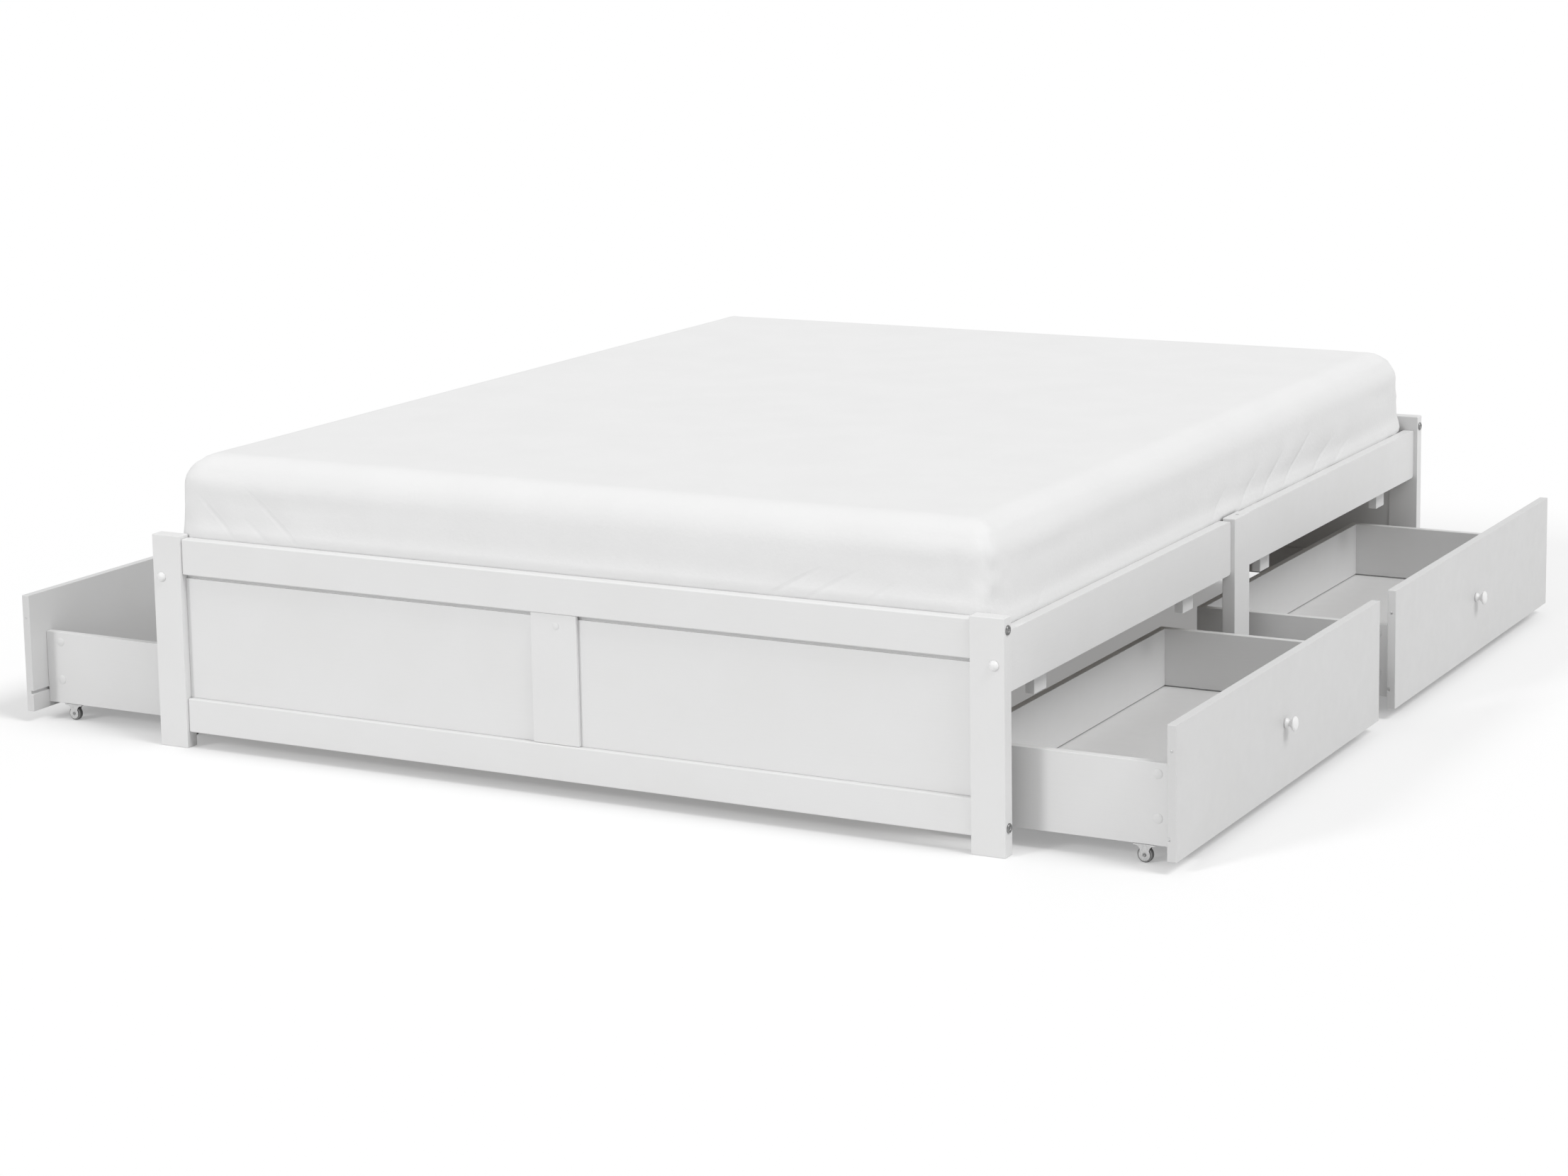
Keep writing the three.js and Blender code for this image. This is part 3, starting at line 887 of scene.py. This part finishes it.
def fine_cotton():
    """Fine plain-weave cotton: crossed threads, thicker slubs here and there, and a soft sheen."""
    material, nodes, links, surface = shader("fine_cotton")
    uv = nodes.new("ShaderNodeTexCoord").outputs["UV"]
    plain = stretched(nodes, links, (1, 1, 1))
    threads = [waves(nodes, links, uv, direction, 260, 1.2, 1) for direction in "XY"]
    weave = maths(nodes, links, "MULTIPLY", *threads)
    cloud = noise(nodes, links, plain, 9, 4)
    white, shade = (0.755, 0.755, 0.755), (0.742, 0.742, 0.742)
    links.new(ramp(nodes, links, cloud, 0.35, 0.65, shade, white), surface.inputs["Base Color"])
    rumple = bump(nodes, links, noise(nodes, links, plain, 110, 5, 0.65), 0.0011, 0.45)
    creased = bump(nodes, links, crease_lines(nodes, links), 0.001, 1.0, rumple)
    cloth = bump(nodes, links, weave, 0.0003, 0.35, creased)
    links.new(cloth, surface.inputs["Normal"])
    surface.inputs["Roughness"].default_value = 0.95
    surface.inputs["Specular IOR Level"].default_value = 0.15
    surface.inputs["Sheen Weight"].default_value = 0.12
    surface.inputs["Sheen Roughness"].default_value = 0.5
    return material


def cloth_uv(mesh, flat):
    """Lays the cloth's flat cut over the mesh as its UV map, in metres."""
    layer = mesh.uv_layers.new(name="flat_cut")
    corner = np.empty(len(mesh.loops), np.int32)
    mesh.loops.foreach_get("vertex_index", corner)
    layer.data.foreach_set("uv", flat[corner].astype(np.float32).reshape(-1))


points, faces, boxed = sheet_surface()
sheet_mesh = bpy.data.meshes.new("cotton_sheet")
sheet_mesh.from_pydata(points.tolist(), [], faces)
sheet_mesh.materials.append(fine_cotton())
below_top = boxed[:, 2].max() - boxed[:, 2]
plan = boxed[:, :2]
outward = np.sign(plan) * (np.abs(plan) >= np.abs(plan).max(axis=0) - 1e-6)
cloth_uv(sheet_mesh, plan + outward * below_top[:, None])
sheet_mesh.polygons.foreach_set("use_smooth", [True] * len(sheet_mesh.polygons))
sheet = bpy.data.objects.new("cotton_sheet", sheet_mesh)
bpy.context.scene.collection.objects.link(sheet)
cloth_thickness = sheet.modifiers.new("thickness", "SOLIDIFY")
cloth_thickness.thickness = 0.0008
cloth_thickness.offset = -1
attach(sheet, "bed_frame")
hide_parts("fitted_sheet")

# The drawers are white lacquered board, a little greyer than the painted frame: a tall front, two
# sides and a back dowelled together, and a thin bottom slid into a groove all round.

BOARD_WHITE = 0.71
FRONT_WHITE = 0.62
board = {grain: painted(f"white_board_{grain}", grain, BOARD_WHITE, 0.46) for grain in "xy"}
front_board = painted("drawer_front_paint", "y", FRONT_WHITE, 0.46)
DRAWERS = [(f"{end}_{side}_drawer", SIDES[side]) for end in ENDS for side in SIDES]
BOARD = 0.014
GROOVE = 0.006
GROOVE_DEPTH = 0.005
GROOVE_HEIGHT = 0.0535
JOINT_GAP = 0.0001
FRONT_EDGE = 0.0014
BOTTOM_EDGE = 0.0003


def grooved_outline(low, high, inner, outer):
    """The section of a board on edge, with a groove in the face at inner. All are (place, height)."""
    deep = inner + math.copysign(GROOVE_DEPTH, outer - inner)
    top = GROOVE_HEIGHT + GROOVE
    return [
        (outer, low), (outer, high), (inner, high), (inner, top),
        (deep, top), (deep, GROOVE_HEIGHT), (inner, GROOVE_HEIGHT), (inner, low),
    ]


def drawer_board(name, points_faces, body, grain):
    """A board of a drawer's box, with its edges eased."""
    piece = mesh_piece(name, *points_faces, body, board[grain], smooth=False)
    bevel = piece.modifiers.new("eased_edges", "BEVEL")
    bevel.width = 0.0007
    bevel.segments = 2
    bevel.limit_method = "ANGLE"
    return piece


for drawer, across in DRAWERS:
    finish_node(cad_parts[f"{drawer}_front"], front_board, FRONT_EDGE)
    finish_node(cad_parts[f"{drawer}_bottom"], board["y"], BOTTOM_EDGE)
    low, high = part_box(f"{drawer}_box")
    for label, inner, outer in (("foot", low.y + BOARD, low.y), ("head", high.y - BOARD, high.y)):
        section = grooved_outline(low.z, high.z, inner, outer)
        side_board = prism(section, "x", low.x, high.x)
        piece = drawer_board(f"{drawer}_{label}_side", side_board, drawer, "x")
        if label == "foot":
            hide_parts(f"{drawer}_box")
    back_outer = low.x if across > 0 else high.x
    back_inner = back_outer + across * BOARD
    section = grooved_outline(low.z, high.z, back_inner, back_outer)
    upright = [(height, place) for place, height in section]
    back = prism(upright, "y", low.y + BOARD + JOINT_GAP, high.y - BOARD - JOINT_GAP)
    drawer_board(f"{drawer}_back", back, drawer, "y")

# Flat white caps cover the cam locks in the sides. Two dowels show in each front's top edge, and a
# screw in each of its ends.

CAM_RADIUS = 0.0082
CAM_IN = 0.033
CAM_HEIGHTS = (0.075, 0.147)
DOWEL_RADIUS = 0.0028
DOWEL_FROM_END = 0.155
SCREW_RADIUS = 0.0025
SCREW_HEIGHT = 0.198
PLUG_RISE = 0.0003
for drawer, across in DRAWERS:
    low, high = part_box(f"{drawer}_front")
    inner = low.x if across > 0 else high.x
    box_low, box_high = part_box(f"{drawer}_box")
    for label, face, out in (("foot", box_low.y, -1), ("head", box_high.y, 1)):
        for number, height in enumerate(CAM_HEIGHTS, 1):
            centre = (inner - across * CAM_IN, face, height)
            name = f"{drawer}_{label}_cam_cap_{number}"
            cap = flat_plug(name, centre, "y", out, CAM_RADIUS, drawer, board["x"], 0.0005)
    middle = (low.x + high.x) / 2
    for number, place in enumerate((low.y + DOWEL_FROM_END, high.y - DOWEL_FROM_END), 1):
        name = f"{drawer}_front_dowel_{number}"
        top = (middle, place, high.z)
        dowel = flat_plug(name, top, "z", 1, DOWEL_RADIUS, drawer, front_board, PLUG_RISE)
    for number, (face, out) in enumerate(((low.y, -1), (high.y, 1)), 1):
        name = f"{drawer}_front_screw_{number}"
        centre = (middle, face, SCREW_HEIGHT)
        screw = flat_plug(name, centre, "y", out, SCREW_RADIUS, drawer, zinc, PLUG_RISE)

# Each front has one turned wooden knob, painted white: a foot ring, a narrow neck and a domed head.


HEAD_RADIUS = 0.013
HEAD_FROM = 0.0118


def knob_profile(reach):
    """(radius, distance out) down the knob: straight foot, a neck drawn in by a cosine, and a head
    that is an ellipse."""
    foot = [[0, 0.0003], [0.0078, 0.0003], [0.0085, 0.001], [0.0085, 0.003], [0.0078, 0.004]]
    along = np.linspace(0.004, 0.0115, 8)
    neck = 0.0050 + 0.0026 * np.cos(np.linspace(0, math.pi, 8)) ** 2
    turn = np.linspace(-math.pi / 2 + 0.7, math.pi / 2, 16)
    middle, half = (reach + HEAD_FROM) / 2, (reach - HEAD_FROM) / 2
    head = np.stack([HEAD_RADIUS * np.cos(turn), middle + half * np.sin(turn)], axis=-1)
    return np.vstack([foot, np.stack([neck, along], axis=-1)[1:], head])


knob_paint = painted("knob_paint", "x", 0.8, 0.3)
for drawer, across in DRAWERS:
    low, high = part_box(f"{drawer}_knob")
    front_low, front_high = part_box(f"{drawer}_front")
    face = front_high.x if across > 0 else front_low.x
    reach = (high.x - face) if across > 0 else (face - low.x)
    foot = (face, (low.y + high.y) / 2, (low.z + high.z) / 2)
    profile = knob_profile(reach) * [1, across]
    knob = turned(f"{drawer}_turned_knob", profile, "x", foot, drawer, knob_paint, 40)
    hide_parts(f"{drawer}_knob")

# Each drawer runs on four small fixed castors under its side boards: a pressed zinc fork with a flat
# plate and two cheeks, an axle rivet, and a grey plastic wheel with a harder dark tread.


LOBE_RADIUS = 0.0096
CHEEK_FOOT = 0.0165
PLATE_THICKNESS = 0.002
PLATE_GAP = 0.0001


def cheek_outline(x, z, rise):
    """One cheek of the fork seen from the side: a round lobe about the axle that flows up in two
    hollow curves into the wide plate. The curves are quadratic Bezier ones."""
    lobe = np.linspace(math.radians(40), math.radians(-220), 22)
    round_part = LOBE_RADIUS * np.stack([np.cos(lobe), np.sin(lobe)], axis=-1)
    t = np.linspace(0, 1, 8)[1:, None]
    start = round_part[-1]
    bend, stop = np.array([-0.0088, rise - 0.001]), np.array([-CHEEK_FOOT, rise - 0.0012])
    left = (1 - t) ** 2 * start + 2 * t * (1 - t) * bend + t**2 * stop
    corner = np.array([[-CHEEK_FOOT, rise]])
    half = np.vstack([left, corner])
    other = half[::-1] * [-1, 1]
    return np.vstack([round_part, half, other]) + [x, z]


def fork_parts(x, y, z, ceiling):
    """The fork's plate, its two cheeks and two screw heads under the plate's ears."""
    under = ceiling - PLATE_THICKNESS
    plate = prism(rounded_outline(0.0195, 0.0085, 0.002) + [x, y], "z", under, ceiling - PLATE_GAP)
    outline = cheek_outline(x, z, under - z)[:, ::-1]
    cheeks = [prism(outline, "y", y + near, y + far) for near, far in ((-0.0062, -0.005), (0.005, 0.0062))]
    screws = []
    for shift in (-0.0135, 0.0135):
        profile = np.vstack([[0, 0], dome(0.0028, 0.0011, 4)]) * [1, -1]
        head = turned_points(profile, "z", (x + shift, y, under), 16)
        screws.append((head.reshape(-1, 3), grid_faces(len(profile), 16, wrap_columns=True)))
    return gathered([plate, *cheeks, *screws])


def rivet_profile():
    """A rivet along y: a shaft with a low domed head at each end, and a dimple in each head."""
    half = np.array([
        [0, 0.0068], [0.0012, 0.0069], [0.0016, 0.0078],
        [0.0028, 0.0072], [0.0032, 0.0063], [0.0018, 0.0062],
    ])
    return np.vstack([half, half[::-1] * [1, -1]])


HUB_RING = [
    (0.0022, -0.0042), (0.0050, -0.0042), (0.0054, -0.0032), (0.0096, -0.0030), (0.0102, -0.0039),
    (0.0114, -0.0039), (0.0114, 0.0039), (0.0102, 0.0039), (0.0096, 0.0030), (0.0054, 0.0032),
    (0.0050, 0.0042), (0.0022, 0.0042),
]
SHOULDER = 0.0012


def tread_ring(radius):
    """The tread's section: a flat band with round shoulders, as a closed ring of (radius, along)."""
    turn = np.linspace(0, math.pi / 2, 5)
    out = radius - SHOULDER + SHOULDER * np.cos(turn)
    shoulder = np.stack([out, 0.0026 + SHOULDER * np.sin(turn)], axis=-1)
    inner = np.array([[0.0115, 0.0038], [0.0115, -0.0038]])
    return np.vstack([shoulder, inner, shoulder[::-1] * [1, -1]])


hub_plastic = moulded("hub_plastic", 0.42, 0.35)
tread_plastic = moulded("tread_plastic", 0.13, 0.45)
for drawer, _ in DRAWERS:
    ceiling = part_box(f"{drawer}_box")[0].z
    for number in range(1, 5):
        node = f"{drawer}_wheel_{number}"
        low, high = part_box(node)
        x, y, z = ((a + b) / 2 for a, b in zip(low, high))
        radius = (high.z - low.z) / 2
        middle = (x, y, z)
        parts = fork_parts(x, y, z, ceiling)
        fork = mesh_piece(f"{drawer}_fork_{number}", *parts, drawer, zinc, smooth=False)
        rivet = turned(f"{drawer}_axle_{number}", rivet_profile(), "y", middle, drawer, nickel, 20)
        name = f"{drawer}_hub_{number}"
        hub = turned(name, HUB_RING, "y", middle, node, hub_plastic, 32, ring=True)
        name = f"{drawer}_tread_{number}"
        tread = turned(name, tread_ring(radius), "y", middle, node, tread_plastic, 48, ring=True)
        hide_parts(node)

# The studio is a pale floor under a white sky, with one soft lamp low before the foot end and another
# high on the right. The floor that is seen glows a little and lights nothing; a second one, just
# below it and not seen, throws the light up.

FLOOR_HALF = 60
FLOORS = {"floor": (0.64, 0.27), "floor_bounce": (0.70, 0)}
BOUNCE_DROP = 0.002


def floor_plane(name, white, glow):
    """A flat square on the ground, with a little light of its own."""
    corners = [(-1, -1), (1, -1), (1, 1), (-1, 1)]
    mesh = bpy.data.meshes.new(name)
    mesh.from_pydata([(x * FLOOR_HALF, y * FLOOR_HALF, 0) for x, y in corners], [], [(0, 1, 2, 3)])
    plane = bpy.data.objects.new(name, mesh)
    bpy.context.scene.collection.objects.link(plane)
    material, _, _, surface = shader(name)
    surface.inputs["Base Color"].default_value = (white, white, white, 1)
    surface.inputs["Emission Color"].default_value = (1, 1, 1, 1)
    surface.inputs["Emission Strength"].default_value = glow
    surface.inputs["Roughness"].default_value = 0.9
    surface.inputs["Specular IOR Level"].default_value = 0.1
    mesh.materials.append(material)
    plane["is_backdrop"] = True
    return plane


seen, bounce = (floor_plane(name, *look) for name, look in FLOORS.items())
seen.visible_diffuse = False
seen.visible_shadow = False
bounce.visible_camera = False
bounce.visible_glossy = False
bounce.data.transform(Matrix.Translation((0, 0, -BOUNCE_DROP)))

world = bpy.data.worlds.new("studio")
world.use_nodes = True
sky_nodes, sky_links = world.node_tree.nodes, world.node_tree.links
sky_parts = sky_nodes.new("ShaderNodeSeparateXYZ")
sky_links.new(sky_nodes.new("ShaderNodeTexCoord").outputs["Generated"], sky_parts.inputs["Vector"])
sky = ramp(sky_nodes, sky_links, sky_parts.outputs["Z"], 0.0, 0.03, [0.5] * 3, [0.95] * 3)
overhead = sky.node.color_ramp.elements.new(0.3)
overhead.color = (0.62, 0.62, 0.62, 1)
sky_links.new(sky, sky_nodes["Background"].inputs["Color"])
bpy.context.scene.world = world
bpy.context.scene.view_settings.view_transform = "Standard"


def soft_lamp(name, towards, strength, spread_angle):
    """A distant soft lamp, set by the direction in which it stands from the bed."""
    lamp = bpy.data.objects.new(name, bpy.data.lights.new(name, "SUN"))
    bpy.context.scene.collection.objects.link(lamp)
    lamp.data.energy = strength
    lamp.data.angle = math.radians(spread_angle)
    lamp.rotation_euler = Vector(towards).to_track_quat("Z", "Y").to_euler()


soft_lamp("key_lamp", (-0.38, -0.80, 0.46), 0.92, 12)
soft_lamp("fill_lamp", (0.61, -0.07, 0.79), 1.5, 24)

low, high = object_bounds()
